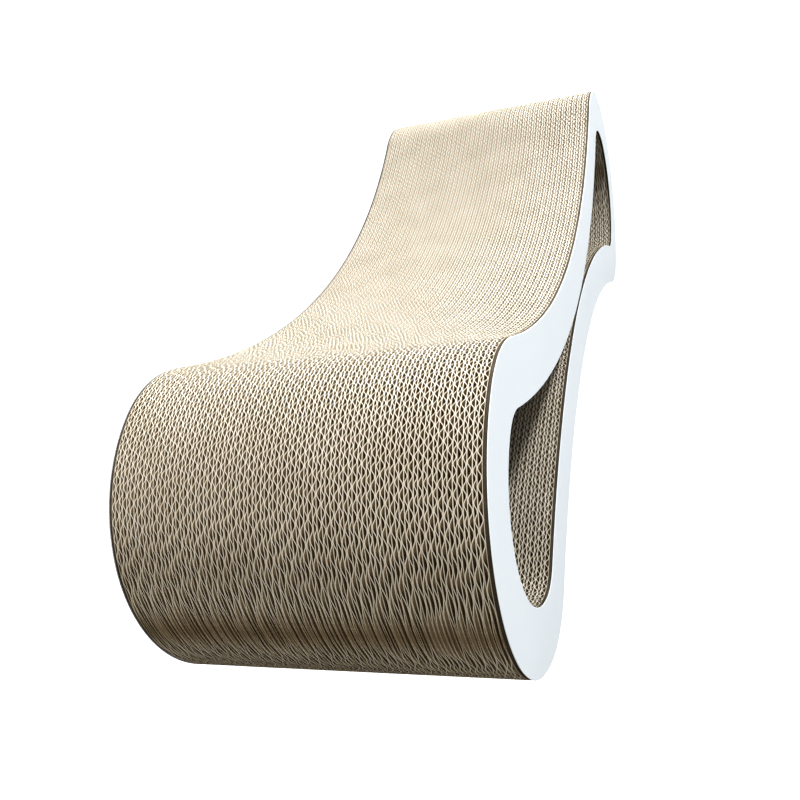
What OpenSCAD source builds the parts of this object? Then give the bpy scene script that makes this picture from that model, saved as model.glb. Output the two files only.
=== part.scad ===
// Lounge-shaped cat scratcher: a stack of double-wall corrugated sheets, all cut to one closed
// ring with a round lobe at each end and a low waist, glued face to face between two thin panels.
// X runs across the stack, Y along the lounge, Z up from the floor under the middle.

/* [Outline] */
// Overall length over both lobes
lounge_l = 860; // [820:5:900]
// Overall height, at the shoulders
lounge_h = 246.6; // [236:0.2:258]
// How much larger the radius of each lobe's round end is than half the height
end_extra_r = 2.7; // [1:0.1:10]
// Radius of the shoulder that turns from the end into the saddle
shoulder_r = 85; // [75:1:95]
// Width of the board wall between the outline and the opening
wall_w = 47.5; // [40:0.5:52]
// Gap between the upper and the lower wall at the waist
waist_gap = 5; // [4:0.5:10]

/* [Sheets] */
// Number of corrugated sheets
sheet_count = 43; // [40:1:46]
// Thickness of a flat paper, and of the waved papers between them
paper_t = 0.5; // [0.4:0.05:0.6]
// Height of the layer of narrow flutes
narrow_h = 2; // [1.6:0.1:2.6]
// Pitch of the narrow flutes
narrow_pitch = 6.5; // [6:0.1:7]
// Height of the layer of wide flutes
wide_h = 2.5; // [2:0.1:3.6]
// Pitch of the wide flutes
wide_pitch = 7.95; // [7.2:0.05:8.6]

/* [Side panels] */
// Thickness of a side panel
panel_t = 3; // [2:0.1:4]

/* [Hidden] */
// Smoothness of the arcs
$fn = 180;

// A sheet has three flat papers with a layer of flutes between each two
sheet_t = 3 * paper_t + narrow_h + wide_h;
stack_w = sheet_count * sheet_t;

// How far a cut runs past the faces it leaves through
overrun = 1;

// How far the shoulder circles lap over the arcs that they run into
lap = 0.02;

// The outline is drawn in a plane of its own, [along the lounge, up from its middle]
end_r = lounge_h / 2 + end_extra_r;
end_centre = [lounge_l / 2 - end_r, 0];

// The shoulder circle reaches the full height and touches the end circle from inside, so its
// centre lies end_reach from the centre of the lobe
end_reach = end_r - shoulder_r;
shoulder_up = lounge_h / 2 - shoulder_r - lap;
shoulder_centre = [end_centre[0] + sqrt(end_reach ^ 2 - shoulder_up ^ 2), shoulder_up];

// The saddle circle reaches down to the waist and touches the shoulder circles of both lobes
half_waist = wall_w + waist_gap / 2;
saddle_rise = shoulder_up - half_waist;
saddle_r = (shoulder_centre[0] ^ 2 + saddle_rise ^ 2 - shoulder_r ^ 2) / (shoulder_r + saddle_rise) / 2;
saddle_centre = [0, half_waist + saddle_r];

// Directions, from the lobe's centre and the saddle's, in which the arcs run into each other
end_turn = (shoulder_centre - end_centre) / end_reach;
saddle_turn = (shoulder_centre - saddle_centre) / (saddle_r + shoulder_r);

function two_digits(n) = n < 10 ? str("0", n) : str(n);
function sheet_name(n) = str("sheet_", two_digits(n));

// The outermost sheets, beside the side panels, show how every sheet is built
function has_flutes(n) = n == 1 || n == sheet_count;

// A plate in the shape of the outline, or of a curve that runs inset within it
module plate(inset, thickness) {
    end_in = end_r - inset;
    saddle_out = saddle_r + inset;
    hip = saddle_centre + saddle_out * saddle_turn;
    tip = end_centre + [end_reach, 0];
    // The round end of each lobe, as far as the shoulders
    for (flip_y = [0, 1]) mirror([flip_y, 0, 0])
        translate(end_centre)
            intersection() {
                cylinder(r = end_in, h = thickness);
                linear_extrude(height = thickness)
                    polygon(2 * end_in * [
                        [0, 0], end_turn, [1, end_turn[1]], [1, -end_turn[1]],
                        [end_turn[0], -end_turn[1]]
                    ]);
            }
    // The shoulders, above and below
    for (flip_y = [0, 1], flip_z = [0, 1]) mirror([flip_y, 0, 0]) mirror([0, flip_z, 0])
        translate(shoulder_centre) cylinder(r = shoulder_r - inset + lap, h = thickness);
    // What lies between the shoulders and a little way into the ends, hollowed by the saddles
    difference() {
        linear_extrude(height = thickness)
            polygon([
                tip, shoulder_centre, hip, [-hip[0], hip[1]],
                [-shoulder_centre[0], shoulder_centre[1]], -tip, -shoulder_centre,
                -hip, [hip[0], -hip[1]], [shoulder_centre[0], -shoulder_centre[1]]
            ]);
        for (flip_z = [0, 1]) mirror([0, flip_z, 0])
            translate(concat(saddle_centre, -overrun))
                cylinder(r = saddle_out, h = thickness + 2 * overrun);
    }
}

// The closed ring that every board is cut to. Its wall is the same width all the way round.
module ring(thickness) {
    difference() {
        plate(0, thickness);
        translate([0, 0, -overrun]) plate(wall_w, thickness + 2 * overrun);
    }
}

// A ring-shaped board stood on its two lobes, with its lower X face at x
module board(x, thickness) {
    translate([x, 0, lounge_h / 2])
        rotate([90, 0, 90]) ring(thickness);
}

// The air channels of a layer of flutes, in plan, on both sides of a waved paper that runs between
// flat papers at x = 0 and x = depth
module channels(depth, pitch) {
    slope = atan(2 * depth / pitch);
    open_share = 1 - paper_t / sin(slope) / pitch;
    half_side = open_share * pitch / 2;
    apex = open_share * depth;
    waves = ceil(lounge_l / pitch / 2);
    for (n = [-waves : waves]) {
        translate([0, n * pitch])
            polygon([[0, -half_side], [apex, 0], [0, half_side]]);
        translate([depth, (n + 1 / 2) * pitch])
            polygon([[0, half_side], [-apex, 0], [0, -half_side]]);
    }
}

// Both layers of flutes of a sheet with its lower X face at x. They run upright, from cut edge to
// cut edge.
module flutes(x) {
    translate([x, 0, -overrun])
        linear_extrude(height = lounge_h + 2 * overrun) {
            translate([paper_t, 0]) channels(narrow_h, narrow_pitch);
            translate([2 * paper_t + narrow_h, 0]) channels(wide_h, wide_pitch);
        }
}

// One double-wall corrugated sheet
module sheet(n) {
    x = -stack_w / 2 + (n - 1) * sheet_t;
    color("tan")
        difference() {
            board(x, sheet_t);
            if (has_flutes(n)) flutes(x);
        }
}

// White-faced boards that close the two sides of the stack
module left_side_panel() {
    color("whitesmoke")
        board(-stack_w / 2 - panel_t, panel_t);
}

module right_side_panel() {
    color("whitesmoke")
        board(stack_w / 2, panel_t);
}

left_side_panel();
for (n = [1 : sheet_count])
    sheet(n);
right_side_panel();
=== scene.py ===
import math

import bmesh
import bpy
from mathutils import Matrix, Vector


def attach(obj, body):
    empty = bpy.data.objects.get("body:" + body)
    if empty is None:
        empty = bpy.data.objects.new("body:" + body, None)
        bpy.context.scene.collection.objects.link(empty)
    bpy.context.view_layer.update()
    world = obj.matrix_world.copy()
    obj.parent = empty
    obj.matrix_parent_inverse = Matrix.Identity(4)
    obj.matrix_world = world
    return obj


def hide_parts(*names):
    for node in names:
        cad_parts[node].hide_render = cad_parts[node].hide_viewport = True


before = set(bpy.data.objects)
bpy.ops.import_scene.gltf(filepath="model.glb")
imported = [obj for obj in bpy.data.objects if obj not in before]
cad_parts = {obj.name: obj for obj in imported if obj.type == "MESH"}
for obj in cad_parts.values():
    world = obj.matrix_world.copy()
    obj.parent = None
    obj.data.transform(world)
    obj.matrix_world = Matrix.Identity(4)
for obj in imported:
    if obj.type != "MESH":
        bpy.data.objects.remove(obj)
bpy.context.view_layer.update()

# The left side panel
# A 3 mm greyboard ring, faced outside with smooth white paper, that closes the stack on the left.
# It is die-cut to the lounge's outline, and glued flat to the first corrugated sheet.

LOUNGE_LENGTH = 0.860
LOUNGE_HEIGHT = 0.2466
END_EXTRA_RADIUS = 0.0027
SHOULDER_RADIUS = 0.085
WALL = 0.0475
WAIST_GAP = 0.005
ARC_STEP = math.radians(1.5)
SADDLE_STEP = math.radians(0.4)

STACK_WIDTH = 0.258
PANEL = 0.003
FACE_PAPER = 0.0004
PRESSED_EDGE = 0.0002
SET_BACK = 0.0008

WHITE_PAPER = (0.915, 0.935, 0.955, 1.0)
WHITE_PAPER_DARK = (0.88755, 0.90695, 0.92635, 1.0)
GREYBOARD = (0.12, 0.1, 0.078, 1.0)
GREYBOARD_DARK = (0.06, 0.05, 0.038, 1.0)
FIBRE_HEIGHT = 0.0002

LOUNGE_MIDDLE = LOUNGE_HEIGHT / 2
END_RADIUS = LOUNGE_HEIGHT / 2 + END_EXTRA_RADIUS
LOBE_CENTRE = LOUNGE_LENGTH / 2 - END_RADIUS


def outline_stations():
    """Points round the outline as seen from the right, each with its outward direction."""
    end = Vector((LOBE_CENTRE, 0))
    rise = LOUNGE_HEIGHT / 2 - SHOULDER_RADIUS
    shoulder = end + Vector((math.sqrt((END_RADIUS - SHOULDER_RADIUS) ** 2 - rise**2), rise))
    waist_height = WALL + WAIST_GAP / 2
    fall = rise - waist_height
    reach = shoulder.x**2 + fall**2 - SHOULDER_RADIUS**2
    saddle_radius = reach / (SHOULDER_RADIUS + fall) / 2
    saddle = Vector((0, waist_height + saddle_radius))

    def arc(centre, radius, start, stop, step, outward):
        count = max(2, math.ceil(abs(stop - start) / step))
        turns = [start + (stop - start) * k / count for k in range(count)]
        ways = [Vector((math.cos(a), math.sin(a))) for a in turns]
        return [(centre + radius * w, w * outward) for w in ways]

    end_turn = math.atan2(shoulder.y - end.y, shoulder.x - end.x)
    down = saddle - shoulder
    hip_turn = math.atan2(down.y, down.x)
    quarter = arc(end, END_RADIUS, 0, end_turn, ARC_STEP, 1)
    quarter += arc(shoulder, SHOULDER_RADIUS, end_turn, hip_turn, ARC_STEP, 1)
    quarter += arc(saddle, saddle_radius, hip_turn - math.pi, -math.pi / 2, SADDLE_STEP, -1)
    waist = (Vector((0, waist_height)), Vector((0, 1)))

    def flipped(stations, y, z):
        return [(Vector((p.x * y, p.y * z)), Vector((n.x * y, n.y * z))) for p, n in stations]

    upper = quarter + [waist] + flipped(quarter[:0:-1], -1, 1)
    lower = flipped(quarter[:1], -1, 1) + flipped(quarter[1:], -1, -1)
    lower += flipped([waist], 1, -1) + flipped(quarter[:0:-1], 1, -1)
    return upper + lower


STATIONS = outline_stations()


def ring_board(name, section):
    """A mesh swept round the outline from a closed section of (x, distance in from it)."""
    points, faces = [], []
    size = len(section)
    for j, (point, outward) in enumerate(STATIONS):
        for x, inset in section:
            at = point - outward * inset
            points.append((x, at.x, at.y + LOUNGE_MIDDLE))
        after = (j + 1) % len(STATIONS)
        for k in range(size):
            following = (k + 1) % size
            faces.append(
                (j * size + k, j * size + following, after * size + following, after * size + k)
            )
    mesh = bpy.data.meshes.new(name)
    mesh.from_pydata(points, [], faces)
    shape = bmesh.new()
    shape.from_mesh(mesh)
    bmesh.ops.recalc_face_normals(shape, faces=shape.faces)
    shape.to_mesh(mesh)
    shape.free()
    piece = bpy.data.objects.new(name, mesh)
    bpy.context.scene.collection.objects.link(piece)
    return piece


def put(tree, kind, inputs=None, **settings):
    """Adds a node with its settings, and links or sets its inputs."""
    made = tree.nodes.new(kind)
    for key, value in settings.items():
        setattr(made, key, value)
    for key, value in (inputs or {}).items():
        if isinstance(value, bpy.types.NodeSocket):
            tree.links.new(value, made.inputs[key])
        else:
            made.inputs[key].default_value = value
    return made


def paper_fibres_group():
    """Mottling of pressed pulp: a tone round 0.5 and a height, from clouds and fine specks."""
    tree = bpy.data.node_groups.new("Paper fibres", "ShaderNodeTree")
    sockets = tree.interface
    sockets.new_socket("Vector", in_out="INPUT", socket_type="NodeSocketVector")
    for name, value in (("Cloud Scale", 18.0), ("Speck Scale", 900.0), ("Speck Share", 0.4)):
        sockets.new_socket(name, in_out="INPUT", socket_type="NodeSocketFloat").default_value = value
    sockets.new_socket("Tone", in_out="OUTPUT", socket_type="NodeSocketFloat")
    sockets.new_socket("Height", in_out="OUTPUT", socket_type="NodeSocketFloat")
    given = put(tree, "NodeGroupInput").outputs
    clouds = put(
        tree,
        "ShaderNodeTexNoise",
        {"Vector": given["Vector"], "Scale": given["Cloud Scale"], "Detail": 4.0},
    )
    specks = put(
        tree,
        "ShaderNodeTexNoise",
        {"Vector": given["Vector"], "Scale": given["Speck Scale"], "Detail": 3.0},
    )
    tone = put(
        tree,
        "ShaderNodeMix",
        {0: given["Speck Share"], 2: clouds.outputs["Fac"], 3: specks.outputs["Fac"]},
        data_type="FLOAT",
    )
    results = put(tree, "NodeGroupOutput").inputs
    tree.links.new(tone.outputs[0], results["Tone"])
    tree.links.new(specks.outputs["Fac"], results["Height"])
    return tree


PAPER_FIBRES = paper_fibres_group()


def paper_material(name, light, dark, spread, roughness, bump, scales):
    """A paper whose colour runs between two tones with its fibres, over a spread round 0.5."""
    material = bpy.data.materials.new(name)
    material.use_nodes = True
    tree = material.node_tree
    shader = tree.nodes["Principled BSDF"]
    where = put(tree, "ShaderNodeTexCoord")
    fibres = put(tree, "ShaderNodeGroup", node_tree=PAPER_FIBRES)
    tree.links.new(where.outputs["Object"], fibres.inputs["Vector"])
    for key, value in scales.items():
        fibres.inputs[key].default_value = value
    ramp = put(tree, "ShaderNodeValToRGB", {"Fac": fibres.outputs["Tone"]})
    ramp.color_ramp.elements[0].position = 0.5 - spread
    ramp.color_ramp.elements[0].color = dark
    ramp.color_ramp.elements[1].position = 0.5 + spread
    ramp.color_ramp.elements[1].color = light
    relief = put(
        tree,
        "ShaderNodeBump",
        {"Height": fibres.outputs["Height"], "Strength": bump, "Distance": FIBRE_HEIGHT},
    )
    tree.links.new(ramp.outputs["Color"], shader.inputs["Base Color"])
    tree.links.new(relief.outputs["Normal"], shader.inputs["Normal"])
    shader.inputs["Roughness"].default_value = roughness
    shader.inputs["Specular IOR Level"].default_value = 0.25
    return material


greyboard = paper_material(
    "greyboard",
    GREYBOARD,
    GREYBOARD_DARK,
    spread=0.18,
    roughness=0.95,
    bump=0.6,
    scales={"Cloud Scale": 60.0},
)
white_face = paper_material(
    "smooth white paper",
    WHITE_PAPER,
    WHITE_PAPER_DARK,
    spread=0.2,
    roughness=0.5,
    bump=0.08,
    scales={"Cloud Scale": 9.0, "Speck Scale": 1400.0, "Speck Share": 0.3},
)


def side_panel(side, sign):
    """The greyboard, set back a little from the cut edge, and its white face on one side."""
    inner = sign * STACK_WIDTH / 2
    joint = sign * (STACK_WIDTH / 2 + PANEL - FACE_PAPER)
    outer = sign * (STACK_WIDTH / 2 + PANEL)
    eased = outer - sign * PRESSED_EDGE
    near, far = SET_BACK, WALL - SET_BACK
    corners = [(inner, near), (joint, near), (joint, far), (inner, far)]
    board = ring_board(side + "_panel_board", corners)
    face = ring_board(
        side + "_panel_white_face",
        [
            (joint, 0),
            (eased, 0),
            (outer, PRESSED_EDGE),
            (outer, WALL - PRESSED_EDGE),
            (eased, WALL),
            (joint, WALL),
        ],
    )
    board.data.materials.append(greyboard)
    face.data.materials.append(white_face)
    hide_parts(side + "_side_panel")
    for piece in (board, face):
        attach(piece, "root")


side_panel("left", -1)

# The corrugated sheets
# Forty-three double-wall kraft sheets, each with a narrow fluted layer on its left and a wide one
# on its right between three flat liners. They are die-cut, and glued face to face into the stack.

# The papers of a sheet and the flutes between them
SHEET_COUNT = 43
SHEET = STACK_WIDTH / SHEET_COUNT
PAPER = 0.0005
OUTER_PAPER = 0.0003
NARROW_FLUTES = 0.00215
WIDE_FLUTES = SHEET - 2 * OUTER_PAPER - PAPER - NARROW_FLUTES
NARROW_PITCH = 0.0065
WIDE_PITCH = 0.00795
LEAN = math.radians(4)

# The samples across the flutes, which lie closer together at the ends of the lobes, and the rays
# along the flutes that find the cut edges
STEPS_PER_WAVE = 8
LINER_STEP = 0.005
TIP_SAMPLES = 8
TIP_LENGTH = 0.008
TIP_SET_BACK = 0.00002
ROUNDING = 1e-7
WELD = 2e-6
RAY_START = 0.5

# How the papers stray from their even shape, and how the knife leaves their edges
CREST_FLATNESS = 1.25
WANDER = 0.35
WANDER_EASE = 0.015
WANDERS_PER_METRE = 18.0
BEND = 0.0006
BENDS_PER_METRE = 80.0
RAGGED = 0.00025
TEETH_PER_METRE = 260.0
TOOTH_SHARE = 0.1
TOOTH_SEED = 3.0
GRAZING = 0.12
SQUARE = 0.2

# Each layer of each sheet has a seed of its own
LAYER_SEEDS = 10.0
SEED_STEP = 0.17

# The cut edges' paler tone is partly the fluffier fibre of a fresh cut and partly painted highlight,
# standing in for edges that catch the light while the flute walls lie in shade.
KRAFT_EDGE_AND_HIGHLIGHT = (0.8, 0.745, 0.655, 1.0)
KRAFT_EDGE_AND_HIGHLIGHT_DARK = (0.73, 0.665, 0.555, 1.0)
KRAFT_WALL = (0.39, 0.312, 0.205, 1.0)
KRAFT_WALL_DARK = (0.3, 0.235, 0.15, 1.0)


def outline_guide():
    """Thin walls along the outline and the opening, which the paper is cut to."""
    points, faces = [], []
    count = len(STATIONS)
    for inset in (0, WALL):
        for x in (-STACK_WIDTH, STACK_WIDTH):
            for point, outward in STATIONS:
                at = point - outward * inset
                points.append((x, at.x, at.y))
        first = len(points) - 2 * count
        for j in range(count):
            after = (j + 1) % count
            faces.append((first + j, first + after, first + count + after, first + count + j))
    mesh = bpy.data.meshes.new("outline guide")
    mesh.from_pydata(points, [], faces)
    guide = bpy.data.objects.new("outline guide", mesh)
    bpy.context.scene.collection.objects.link(guide)
    return guide


def calc(tree, operation, *values):
    return put(tree, "ShaderNodeMath", dict(enumerate(values)), operation=operation).outputs[0]


def pick(tree, index, values):
    """The value in that place of a list."""
    made = put(tree, "GeometryNodeIndexSwitch", data_type="FLOAT")
    while len(made.index_switch_items) < len(values):
        made.index_switch_items.new()
    tree.links.new(index, made.inputs[0])
    for socket, value in zip(list(made.inputs)[1:], values):
        socket.default_value = value
    return made.outputs[0]


def noise(tree, along, scale, seed):
    """A smooth random value round zero that changes along one coordinate."""
    made = put(
        tree,
        "ShaderNodeTexNoise",
        {"Vector": along, "W": seed, "Scale": scale, "Detail": 1.0},
        noise_dimensions="4D",
    )
    return calc(tree, "SUBTRACT", made.outputs["Fac"], 0.5)


def row_of_samples(tree, given):
    """Points across the flutes on their crests and between, and closer at the lobes' ends."""
    half = given["Half Length"]
    crests = calc(tree, "DIVIDE", half, given["Pitch"])
    crests = calc(tree, "SUBTRACT", given["Phase"], crests)
    past = calc(tree, "FRACT", calc(tree, "MULTIPLY", crests, float(STEPS_PER_WAVE)))
    first = calc(tree, "MULTIPLY", calc(tree, "SUBTRACT", 1.0, past), given["Step"])
    first = calc(tree, "SUBTRACT", first, half)
    whole = calc(tree, "MULTIPLY", half, 2.0)
    line = put(
        tree,
        "GeometryNodeMeshLine",
        {
            "Count": calc(tree, "CEIL", calc(tree, "DIVIDE", whole, given["Step"])),
            "Start Location": put(tree, "ShaderNodeCombineXYZ", {"X": first}).outputs[0],
            "Offset": put(tree, "ShaderNodeCombineXYZ", {"X": given["Step"]}).outputs[0],
        },
        mode="OFFSET",
    )
    spot = put(tree, "GeometryNodeInputIndex").outputs[0]
    near = calc(tree, "POWER", calc(tree, "DIVIDE", spot, float(TIP_SAMPLES)), 2.0)
    near = calc(tree, "MULTIPLY_ADD", near, TIP_LENGTH, TIP_SET_BACK)
    parts = [line.outputs[0]]
    for reach in (half, given["Half Opening"]):
        for sign in (-1.0, 1.0):
            few = put(tree, "GeometryNodeMeshLine", {"Count": TIP_SAMPLES}, mode="OFFSET")
            at = calc(tree, "MULTIPLY", calc(tree, "SUBTRACT", reach, near), sign)
            placed = put(
                tree,
                "GeometryNodeSetPosition",
                {
                    "Geometry": few.outputs[0],
                    "Position": put(tree, "ShaderNodeCombineXYZ", {"X": at}).outputs[0],
                },
            )
            parts.append(placed.outputs[0])
            edge = calc(tree, "MULTIPLY", reach, sign)
            if reach is not half:
                edge = calc(tree, "MULTIPLY", calc(tree, "ADD", reach, TIP_SET_BACK), sign)
            ending = put(tree, "ShaderNodeCombineXYZ", {"X": edge})
            last = put(
                tree,
                "GeometryNodeMeshLine",
                {"Count": 1, "Start Location": ending.outputs[0]},
                mode="OFFSET",
            )
            parts.append(last.outputs[0])
    joined = put(tree, "GeometryNodeJoinGeometry")
    for part in parts:
        tree.links.new(part, joined.inputs[0])
    place = put(tree, "GeometryNodeInputPosition").outputs[0]
    across = put(tree, "ShaderNodeSeparateXYZ", {0: place}).outputs["X"]
    beyond = put(
        tree,
        "FunctionNodeCompare",
        {0: calc(tree, "ABSOLUTE", across), 1: calc(tree, "ADD", half, ROUNDING)},
        data_type="FLOAT",
        operation="GREATER_THAN",
    )
    kept = put(
        tree,
        "GeometryNodeDeleteGeometry",
        {"Geometry": joined.outputs[0], "Selection": beyond.outputs[0]},
        domain="POINT",
    )
    ordered = put(
        tree,
        "GeometryNodeSortElements",
        {"Geometry": kept.outputs[0], "Sort Weight": across},
        domain="POINT",
    )
    return ordered.outputs[0], across


def paper_layer_group():
    """One layer of paper, flat or fluted, that stands along the flutes between the cut edges."""
    tree = bpy.data.node_groups.new("Paper layer", "GeometryNodeTree")
    sockets = tree.interface
    sockets.new_socket("Guide", in_out="INPUT", socket_type="NodeSocketGeometry")
    for name in (
        "Low", "High", "Low Bend", "High Bend", "Low Seed", "High Seed", "Pitch", "Step", "Phase",
        "Wander", "Lean", "Paper", "Ragged", "Half Length", "Half Opening", "Lobe Centre", "Chance",
    ):
        sockets.new_socket(name, in_out="INPUT", socket_type="NodeSocketFloat")
    sockets.new_socket("Geometry", in_out="OUTPUT", socket_type="NodeSocketGeometry")
    given = put(tree, "NodeGroupInput").outputs
    half = given["Half Length"]
    samples, across = row_of_samples(tree, given)
    size = put(tree, "GeometryNodeAttributeDomainSize", {0: samples}, component="MESH")

    # Ten rows: five that close a loop round the upper wall's paper, and five round the lower's
    rows = 10
    grid = put(
        tree,
        "GeometryNodeMeshGrid",
        {"Vertices X": size.outputs["Point Count"], "Vertices Y": rows},
    ).outputs[0]
    index = put(tree, "GeometryNodeInputIndex").outputs[0]
    column = calc(tree, "FLOOR", calc(tree, "DIVIDE", calc(tree, "ADD", index, 0.5), float(rows)))
    row = calc(tree, "SUBTRACT", index, calc(tree, "MULTIPLY", column, float(rows)))
    face_side = pick(tree, row, [1, 1, -1, -1, 1, 1, 1, -1, -1, 1])
    outer_row = pick(tree, row, [1, 0, 0, 1, 1, 0, 1, 1, 0, 0])
    upper_row = pick(tree, row, [1, 1, 1, 1, 1, -1, -1, -1, -1, -1])
    even = put(
        tree,
        "GeometryNodeSampleIndex",
        {"Geometry": samples, "Value": across, "Index": column},
        data_type="FLOAT",
        domain="POINT",
    ).outputs[0]

    # The flutes' pitch wanders a little, but not at the ends of the lobes and of the opening
    from_end = calc(tree, "SUBTRACT", half, calc(tree, "ABSOLUTE", even))
    from_opening = calc(tree, "SUBTRACT", calc(tree, "ABSOLUTE", even), given["Half Opening"])
    ease = calc(tree, "MINIMUM", from_end, calc(tree, "ABSOLUTE", from_opening))
    ease = calc(tree, "MINIMUM", calc(tree, "DIVIDE", ease, WANDER_EASE), 1.0)
    even_place = put(tree, "ShaderNodeCombineXYZ", {"X": even}).outputs[0]
    drift = noise(tree, even_place, WANDERS_PER_METRE, given["Chance"])
    drift = calc(tree, "MULTIPLY", drift, ease)
    drift = calc(tree, "MULTIPLY", drift, calc(tree, "MULTIPLY", given["Wander"], given["Pitch"]))
    middle_u = calc(tree, "ADD", even, drift)

    # Each liner bows a little, and the waved paper between two liners touches both
    bow_place = put(tree, "ShaderNodeCombineXYZ", {"X": middle_u}).outputs[0]
    limits = []
    for end in ("Low", "High"):
        bow = noise(tree, bow_place, BENDS_PER_METRE, given[end + " Seed"])
        limits.append(calc(tree, "MULTIPLY_ADD", bow, given[end + " Bend"], given[end]))
    low, high = limits
    swing = calc(tree, "MULTIPLY", calc(tree, "SUBTRACT", high, low), 0.5)
    middle = calc(tree, "ADD", low, swing)

    # The wave, whose crests are a little flattened, and the offset to the paper's two faces
    full = math.sin(CREST_FLATNESS)
    turn = calc(tree, "DIVIDE", even, given["Pitch"])
    turn = calc(tree, "MULTIPLY", calc(tree, "ADD", turn, given["Phase"]), 2 * math.pi)
    bent = calc(tree, "MULTIPLY", calc(tree, "SINE", turn), CREST_FLATNESS)
    wave = calc(tree, "DIVIDE", calc(tree, "SINE", bent), full)
    slope = calc(tree, "MULTIPLY", calc(tree, "COSINE", turn), calc(tree, "COSINE", bent))
    slope = calc(tree, "DIVIDE", slope, given["Pitch"])
    steepest = calc(tree, "MULTIPLY", swing, 2 * math.pi * CREST_FLATNESS / full)
    slope = calc(tree, "MULTIPLY", slope, steepest)
    length = calc(tree, "SQRT", calc(tree, "MULTIPLY_ADD", slope, slope, 1.0))
    out = calc(tree, "MULTIPLY", calc(tree, "MULTIPLY", given["Paper"], 0.5), face_side)
    out = calc(tree, "DIVIDE", out, length)
    limit = calc(tree, "SUBTRACT", half, TIP_SET_BACK / 2)
    u = calc(tree, "SUBTRACT", middle_u, calc(tree, "MULTIPLY", out, slope))
    u = calc(tree, "MINIMUM", u, limit)
    u = calc(tree, "MAXIMUM", u, calc(tree, "MULTIPLY", limit, -1.0))
    x = calc(tree, "ADD", calc(tree, "MULTIPLY_ADD", wave, swing, middle), out)

    # Where a line along the flutes meets the cut edges
    cos_lean = calc(tree, "COSINE", given["Lean"])
    sin_lean = calc(tree, "SINE", given["Lean"])
    over = put(tree, "ShaderNodeCombineXYZ", {"Y": cos_lean, "Z": sin_lean}).outputs[0]
    down_y = calc(tree, "MULTIPLY", sin_lean, -1.0)
    up = put(tree, "ShaderNodeCombineXYZ", {"Y": down_y, "Z": cos_lean}).outputs[0]
    bound = calc(tree, "MULTIPLY", given["Lobe Centre"], cos_lean)
    held = calc(tree, "MINIMUM", u, bound)
    held = calc(tree, "MAXIMUM", held, calc(tree, "MULTIPLY", bound, -1.0))
    tangent = calc(tree, "DIVIDE", down_y, cos_lean)
    rise = calc(tree, "MULTIPLY", held, tangent)

    def scaled(vector, amount):
        inputs = {0: vector, "Scale": amount}
        return put(tree, "ShaderNodeVectorMath", inputs, operation="SCALE").outputs[0]

    def summed(a, b):
        return put(tree, "ShaderNodeVectorMath", {0: a, 1: b}, operation="ADD").outputs[0]

    centre = summed(scaled(over, u), scaled(up, rise))
    centre = summed(centre, put(tree, "ShaderNodeCombineXYZ", {"X": x}).outputs[0])
    reach = calc(tree, "MULTIPLY", outer_row, RAY_START)
    origin = summed(centre, scaled(up, calc(tree, "MULTIPLY", reach, upper_row)))
    away = calc(tree, "MULTIPLY", calc(tree, "MULTIPLY_ADD", outer_row, -2.0, 1.0), upper_row)
    hit = put(
        tree,
        "GeometryNodeRaycast",
        {
            "Target Geometry": given["Guide"],
            "Source Position": origin,
            "Ray Direction": scaled(up, away),
            "Ray Length": 1.0,
        },
    )
    across_cut = put(
        tree, "ShaderNodeVectorMath", {0: hit.outputs["Hit Normal"], 1: up}, operation="DOT_PRODUCT"
    )
    squareness = calc(tree, "ABSOLUTE", across_cut.outputs["Value"])
    shut = calc(tree, "GREATER_THAN", calc(tree, "ABSOLUTE", u), given["Half Opening"])
    last_column = calc(tree, "SUBTRACT", size.outputs["Point Count"], 1.5)
    is_end = calc(tree, "GREATER_THAN", column, last_column)
    is_end = calc(tree, "MAXIMUM", is_end, calc(tree, "LESS_THAN", column, 0.5))
    inner_shut = calc(tree, "MULTIPLY", calc(tree, "SUBTRACT", 1.0, outer_row), shut)
    stays = calc(tree, "MAXIMUM", is_end, inner_shut)

    # The cut is a little ragged, which runs further along a flute where the cut grazes it
    level = calc(tree, "MULTIPLY", calc(tree, "ADD", outer_row, 1.0), upper_row)
    tooth_place = put(tree, "ShaderNodeCombineXYZ", {"X": even, "Y": level, "Z": x}).outputs[0]
    seed = calc(tree, "ADD", given["Chance"], TOOTH_SEED)
    tooth = noise(tree, tooth_place, TEETH_PER_METRE, seed)
    tooth = calc(tree, "MAXIMUM", calc(tree, "ADD", tooth, TOOTH_SHARE), 0.0)
    tooth = calc(tree, "DIVIDE", tooth, calc(tree, "MAXIMUM", squareness, GRAZING))
    worn = calc(tree, "MULTIPLY", calc(tree, "MULTIPLY", tooth, given["Ragged"]), away)
    cut = summed(hit.outputs["Hit Position"], scaled(up, worn))
    chosen = put(
        tree,
        "ShaderNodeMix",
        {0: stays, 4: cut, 5: centre},
        data_type="VECTOR",
    ).outputs[1]
    shaped = put(tree, "GeometryNodeSetPosition", {"Geometry": grid, "Position": chosen})

    # The faces between the two loops go, and so does the cut where the lobe's end is solid
    def on_faces(value):
        made = put(tree, "GeometryNodeFieldOnDomain", {0: value}, data_type="FLOAT", domain="POINT")
        return made.outputs[0]

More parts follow.
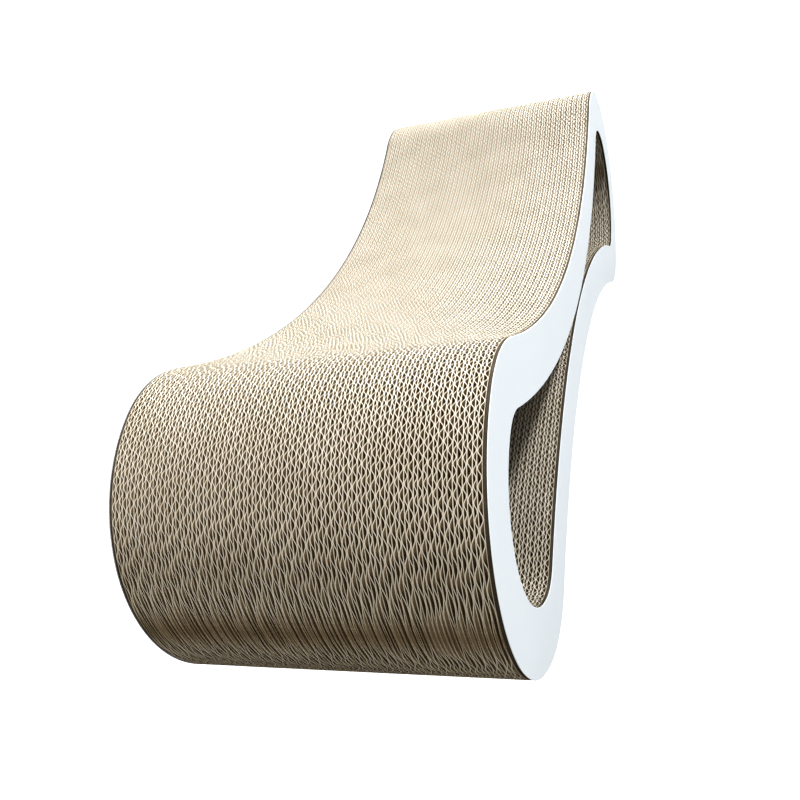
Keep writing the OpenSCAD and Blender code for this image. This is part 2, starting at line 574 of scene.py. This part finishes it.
    band = calc(tree, "FLOOR", on_faces(row))
    between = pick(tree, band, [0, 0, 0, 0, 1, 0, 0, 0, 0, 0])
    inner_cut = pick(tree, band, [0, 1, 0, 0, 0, 0, 0, 0, 1, 0])
    outer_cut = pick(tree, band, [0, 0, 0, 1, 0, 0, 1, 0, 0, 0])
    solid = calc(tree, "GREATER_THAN", on_faces(shut), 0.9)
    gone = calc(tree, "MAXIMUM", between, calc(tree, "MULTIPLY", inner_cut, solid))
    fresh = put(
        tree,
        "ShaderNodeMapRange",
        {"Value": squareness, "From Min": 0.0, "From Max": SQUARE},
        interpolation_type="SMOOTHSTEP",
    ).outputs[0]
    # The cut faces are marked for the paler edge tone, which is partly fibre and partly painted
    # highlight.
    is_cut = calc(tree, "MULTIPLY", calc(tree, "ADD", inner_cut, outer_cut), on_faces(fresh))
    marked = put(
        tree,
        "GeometryNodeStoreNamedAttribute",
        {"Geometry": shaped.outputs[0], "Name": "cut_edge", "Value": is_cut},
        data_type="FLOAT",
        domain="FACE",
    )
    opened = put(
        tree,
        "GeometryNodeDeleteGeometry",
        {"Geometry": marked.outputs[0], "Selection": gone},
        domain="FACE",
    )
    welded = put(
        tree, "GeometryNodeMergeByDistance", {"Geometry": opened.outputs[0], "Distance": WELD}
    )
    results = put(tree, "NodeGroupOutput").inputs
    tree.links.new(welded.outputs[0], results["Geometry"])
    return tree


def corrugated_sheet_tree():
    """A double-wall sheet: three liners and two fluted mediums, cut to the outline."""
    layer = paper_layer_group()
    tree = bpy.data.node_groups.new("Corrugated sheet", "GeometryNodeTree")
    sockets = tree.interface
    sockets.new_socket("Geometry", in_out="INPUT", socket_type="NodeSocketGeometry")
    sockets.new_socket("Outline", in_out="INPUT", socket_type="NodeSocketObject")
    sockets.new_socket("Paper Finish", in_out="INPUT", socket_type="NodeSocketMaterial")
    for name in (
        "Left Face", "Narrow Flutes", "Wide Flutes", "Narrow Pitch", "Wide Pitch", "Lean", "Paper",
        "Outer Paper", "Wander", "Left Bend", "Middle Bend", "Right Bend", "Left Seed",
        "Right Seed", "Ragged", "Half Length", "Half Opening", "Lobe Centre", "Height", "Chance",
    ):
        sockets.new_socket(name, in_out="INPUT", socket_type="NodeSocketFloat")
    sockets.new_socket("Geometry", in_out="OUTPUT", socket_type="NodeSocketGeometry")
    given = put(tree, "NodeGroupInput").outputs
    guide = put(tree, "GeometryNodeObjectInfo", {"Object": given["Outline"]})
    paper = given["Paper"]
    outer = given["Outer Paper"]
    mean = calc(tree, "MULTIPLY", calc(tree, "ADD", paper, outer), 0.5)
    first = calc(tree, "MULTIPLY_ADD", outer, 0.5, given["Left Face"])
    second = calc(tree, "ADD", calc(tree, "ADD", first, given["Narrow Flutes"]), mean)
    third = calc(tree, "ADD", calc(tree, "ADD", second, given["Wide Flutes"]), mean)
    middle_seed = calc(tree, "ADD", given["Chance"], 0.5)
    left = (first, given["Left Bend"], given["Left Seed"])
    centre = (second, given["Middle Bend"], middle_seed)
    right = (third, given["Right Bend"], given["Right Seed"])
    beside_left = calc(tree, "ADD", first, mean)
    beside_right = calc(tree, "SUBTRACT", third, mean)
    centre_left = calc(tree, "SUBTRACT", second, paper)
    centre_right = calc(tree, "ADD", second, paper)

    def layer_between(low, high, thickness, pitch, step, wander, chance):
        number = calc(tree, "MULTIPLY_ADD", given["Chance"], LAYER_SEEDS, float(chance))
        phase = put(
            tree, "FunctionNodeRandomValue", {2: 0.0, 3: 1.0, "ID": number}, data_type="FLOAT"
        )
        inputs = {
            "Guide": guide.outputs["Geometry"],
            "Low": low[0], "Low Bend": low[1], "Low Seed": low[2],
            "High": high[0], "High Bend": high[1], "High Seed": high[2],
            "Pitch": pitch, "Step": step, "Phase": phase.outputs[1], "Wander": wander,
            "Paper": thickness,
            "Chance": calc(tree, "MULTIPLY", number, SEED_STEP),
        }
        for name in ("Lean", "Ragged", "Half Length", "Half Opening", "Lobe Centre"):
            inputs[name] = given[name]
        return put(tree, "GeometryNodeGroup", inputs, node_tree=layer).outputs[0]

    def flat(liner, thickness, chance):
        return layer_between(liner, liner, thickness, 1.0, LINER_STEP, 0.0, chance)

    def fluted(low, high, pitch, chance):
        step = calc(tree, "DIVIDE", pitch, float(STEPS_PER_WAVE))
        return layer_between(low, high, paper, pitch, step, given["Wander"], chance)

    joined = put(tree, "GeometryNodeJoinGeometry")
    for made in (
        flat(left, outer, 1),
        fluted((beside_left, *left[1:]), (centre_left, *centre[1:]), given["Narrow Pitch"], 2),
        flat(centre, paper, 3),
        fluted((centre_right, *centre[1:]), (beside_right, *right[1:]), given["Wide Pitch"], 4),
        flat(right, outer, 5),
    ):
        tree.links.new(made, joined.inputs[0])
    lift = put(tree, "ShaderNodeCombineXYZ", {"Z": given["Height"]})
    stood = put(
        tree, "GeometryNodeSetPosition", {"Geometry": joined.outputs[0], "Offset": lift.outputs[0]}
    )
    real = put(tree, "GeometryNodeRealizeInstances", {"Geometry": stood.outputs[0]})
    finished = put(
        tree,
        "GeometryNodeSetMaterial",
        {"Geometry": real.outputs[0], "Material": given["Paper Finish"]},
    )
    results = put(tree, "NodeGroupOutput").inputs
    tree.links.new(finished.outputs[0], results["Geometry"])
    return tree


def kraft_material():
    """Brown kraft paper whose cut edges are paler than its smooth faces, partly from fluffier fibre
    and partly as painted highlight.
    """
    material = bpy.data.materials.new("kraft paper")
    material.use_nodes = True
    tree = material.node_tree
    shader = tree.nodes["Principled BSDF"]
    where = put(tree, "ShaderNodeTexCoord")
    fibres = put(tree, "ShaderNodeGroup", node_tree=PAPER_FIBRES)
    tree.links.new(where.outputs["Object"], fibres.inputs["Vector"])
    fibres.inputs["Cloud Scale"].default_value = 30.0
    tones = []
    for light, dark in ((KRAFT_WALL, KRAFT_WALL_DARK), (KRAFT_EDGE_AND_HIGHLIGHT, KRAFT_EDGE_AND_HIGHLIGHT_DARK)):
        ramp = put(tree, "ShaderNodeValToRGB", {"Fac": fibres.outputs["Tone"]})
        ramp.color_ramp.elements[0].position = 0.35
        ramp.color_ramp.elements[0].color = dark
        ramp.color_ramp.elements[1].position = 0.65
        ramp.color_ramp.elements[1].color = light
        tones.append(ramp.outputs["Color"])
    # Cut faces take the paler tone, part fibre and part painted highlight.
    edge = put(tree, "ShaderNodeAttribute", attribute_name="cut_edge")
    colour = put(
        tree, "ShaderNodeMix", {0: edge.outputs["Fac"], 6: tones[0], 7: tones[1]}, data_type="RGBA"
    )
    relief = put(
        tree,
        "ShaderNodeBump",
        {"Height": fibres.outputs["Height"], "Strength": 0.5, "Distance": FIBRE_HEIGHT},
    )
    tree.links.new(colour.outputs[2], shader.inputs["Base Color"])
    tree.links.new(relief.outputs["Normal"], shader.inputs["Normal"])
    shader.inputs["Roughness"].default_value = 0.9
    shader.inputs["Specular IOR Level"].default_value = 0.2
    return material


guide = outline_guide()
sheet_tree = corrugated_sheet_tree()
kraft = kraft_material()
SHEET_SIZES = {
    "Outline": guide,
    "Paper Finish": kraft,
    "Narrow Flutes": NARROW_FLUTES,
    "Wide Flutes": WIDE_FLUTES,
    "Narrow Pitch": NARROW_PITCH,
    "Wide Pitch": WIDE_PITCH,
    "Lean": LEAN,
    "Paper": PAPER,
    "Outer Paper": OUTER_PAPER,
    "Wander": WANDER,
    "Middle Bend": BEND,
    "Ragged": RAGGED,
    "Half Length": LOBE_CENTRE * math.cos(LEAN) + END_RADIUS,
    "Half Opening": LOBE_CENTRE * math.cos(LEAN) + END_RADIUS - WALL,
    "Lobe Centre": LOBE_CENTRE,
    "Height": LOUNGE_MIDDLE,
}


def corrugated_sheet(n):
    """Sheet n from the left. It shares its bows with its neighbours and lies flat on a panel."""
    name = f"corrugated_sheet_{n:02d}"
    piece = bpy.data.objects.new(name, bpy.data.meshes.new(name))
    bpy.context.scene.collection.objects.link(piece)
    making = piece.modifiers.new("Corrugated sheet", "NODES")
    making.node_group = sheet_tree
    sizes = {
        **SHEET_SIZES,
        "Left Face": -STACK_WIDTH / 2 + (n - 1) * SHEET,
        "Left Bend": 0.0 if n == 1 else BEND,
        "Right Bend": 0.0 if n == SHEET_COUNT else BEND,
        "Left Seed": n - 1.0,
        "Right Seed": float(n),
        "Chance": float(n),
    }
    for socket in sheet_tree.interface.items_tree:
        if socket.in_out == "INPUT" and socket.name in sizes:
            making[socket.identifier] = sizes[socket.name]
    made = bpy.data.meshes.new_from_object(
        piece.evaluated_get(bpy.context.evaluated_depsgraph_get())
    )
    piece.modifiers.remove(making)
    piece.data = made
    made.name = name
    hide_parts(f"sheet_{n:02d}")
    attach(piece, "root")


for n in range(1, SHEET_COUNT + 1):
    corrugated_sheet(n)
bpy.data.objects.remove(guide)

# The right side panel
# The left panel's twin: greyboard with its white face outward, glued on last, so the flutes end
# between two plain smooth sides.

side_panel("right", 1)

# The floor
# A wide pale floor that the lounge stands on, bright enough to run into the white behind it. It is
# not part of the object.

FLOOR_SIZE = 12.0
FLOOR_COLOUR = (0.93, 0.93, 0.93, 1.0)
FLOOR_BOUNCE_COLOUR = (0.13, 0.13, 0.13, 1.0)
FLOOR_GLOW = 1.12
FLOOR_GLOW_SHARE = 0.82


def floor_material():
    """A pale matt floor that glows evenly to the camera, and throws little light back up."""
    material = bpy.data.materials.new("pale floor")
    material.use_nodes = True
    tree = material.node_tree
    shader = tree.nodes["Principled BSDF"]
    shader.inputs["Base Color"].default_value = FLOOR_COLOUR
    shader.inputs["Roughness"].default_value = 0.9
    glow = put(tree, "ShaderNodeEmission", {"Strength": FLOOR_GLOW})
    seen = put(
        tree,
        "ShaderNodeMixShader",
        {0: FLOOR_GLOW_SHARE, 1: shader.outputs["BSDF"], 2: glow.outputs[0]},
    )
    bounce = put(tree, "ShaderNodeBsdfDiffuse", {"Color": FLOOR_BOUNCE_COLOUR})
    ray = put(tree, "ShaderNodeLightPath")
    either = put(
        tree,
        "ShaderNodeMixShader",
        {0: ray.outputs["Is Camera Ray"], 1: bounce.outputs[0], 2: seen.outputs[0]},
    )
    tree.links.new(either.outputs[0], tree.nodes["Material Output"].inputs["Surface"])
    return material


floor_mesh = bpy.data.meshes.new("floor")
half = FLOOR_SIZE / 2
floor_mesh.from_pydata(
    [(-half, -half, 0), (half, -half, 0), (half, half, 0), (-half, half, 0)],
    [],
    [(0, 1, 2, 3)],
)
floor = bpy.data.objects.new("floor", floor_mesh)
bpy.context.scene.collection.objects.link(floor)
floor_mesh.materials.append(floor_material())

# The light
# A white room that is brightest overhead, a soft box high behind the far lobe, a small strong one
# high on the right that throws a shadow into the near lobe, and two weak ones, low on the right
# and in front.

ROOM_COLOUR = (0.95, 0.95, 0.94, 1.0)
ROOM_HORIZON = 0.2
ROOM_ZENITH = 0.95
ROOM_DIM_BELOW = 0.25
TOP_PLACE = Vector((-0.5, 2.0, 2.0))
TOP_SIZE = 1.2
TOP_COLOUR = (0.95, 0.98, 1.0)
TOP_POWER = 92.0
KEY_HEIGHT_ANGLE = math.radians(62)
KEY_TURN = math.radians(18)
KEY_DISTANCE = 3.5
KEY_SIZE = 0.5
KEY_COLOUR = (0.97, 0.99, 1.0)
KEY_POWER = 78.0
FILL_PLACE = Vector((3.0, -0.3, 0.35))
FILL_SIZE = 1.2
FILL_COLOUR = (0.84, 0.94, 1.0)
FILL_POWER = 19.0
FRONT_PLACE = Vector((0.0, -3.0, 0.5))
FRONT_SIZE = 1.2
FRONT_COLOUR = (1.0, 0.93, 0.78)
FRONT_POWER = 10.0


def soft_box(name, size, power, colour, place, way):
    light = bpy.data.lights.new(name, "AREA")
    light.size = size
    light.energy = power
    light.color = colour
    holder = bpy.data.objects.new(name, light)
    holder.location = place
    holder.rotation_euler = way.to_track_quat("Z", "Y").to_euler()
    bpy.context.scene.collection.objects.link(holder)


world = bpy.data.worlds.new("white room")
bpy.context.scene.world = world
world.use_nodes = True
room = world.node_tree
unlit = room.nodes["Background"]
unlit.inputs["Color"].default_value = ROOM_COLOUR
ray_way = put(room, "ShaderNodeTexCoord")
ray_rise = put(room, "ShaderNodeSeparateXYZ", {0: ray_way.outputs["Generated"]})
brightness = put(
    room,
    "ShaderNodeMapRange",
    {
        "Value": ray_rise.outputs["Z"],
        "From Min": ROOM_DIM_BELOW,
        "To Min": ROOM_HORIZON,
        "To Max": ROOM_ZENITH,
    },
)
room.links.new(brightness.outputs[0], unlit.inputs["Strength"])
white = put(room, "ShaderNodeBackground", {"Color": (1.0, 1.0, 1.0, 1.0), "Strength": 1.0})
room_ray = put(room, "ShaderNodeLightPath")
room_seen = put(
    room,
    "ShaderNodeMixShader",
    {0: room_ray.outputs["Is Camera Ray"], 1: unlit.outputs[0], 2: white.outputs[0]},
)
room.links.new(room_seen.outputs[0], room.nodes["World Output"].inputs["Surface"])

soft_box("top soft box", TOP_SIZE, TOP_POWER, TOP_COLOUR, TOP_PLACE, TOP_PLACE)
key_way = Vector((
    math.cos(KEY_HEIGHT_ANGLE) * math.cos(KEY_TURN),
    math.cos(KEY_HEIGHT_ANGLE) * math.sin(KEY_TURN),
    math.sin(KEY_HEIGHT_ANGLE),
))
key_place = Vector((0, 0, LOUNGE_MIDDLE)) + KEY_DISTANCE * key_way
soft_box("key soft box", KEY_SIZE, KEY_POWER, KEY_COLOUR, key_place, key_way)
soft_box("fill soft box", FILL_SIZE, FILL_POWER, FILL_COLOUR, FILL_PLACE, FILL_PLACE)
soft_box("front soft box", FRONT_SIZE, FRONT_POWER, FRONT_COLOUR, FRONT_PLACE, FRONT_PLACE)
bpy.context.scene.view_settings.view_transform = "Standard"
bpy.context.scene.view_settings.look = "High Contrast"

# The camera
# It stands in front of the near lobe, to the right and above, close enough that the far lobe
# looks much smaller.

CAMERA_PLACE = (0.25767, -0.74667, 0.48388)
CAMERA_TURN = (57.9233, 13.5651, 14.4803)
CAMERA_LENS = 36.73
CAMERA_SHIFT = (-0.04, 0.02)

camera = bpy.data.cameras.new("camera")
camera.lens = CAMERA_LENS
camera.sensor_width = 36.0
camera.shift_x, camera.shift_y = CAMERA_SHIFT
camera.clip_start = 0.01
viewer = bpy.data.objects.new("camera", camera)
viewer.location = CAMERA_PLACE
viewer.rotation_euler = [math.radians(a) for a in CAMERA_TURN]
bpy.context.scene.collection.objects.link(viewer)
bpy.context.scene.camera = viewer
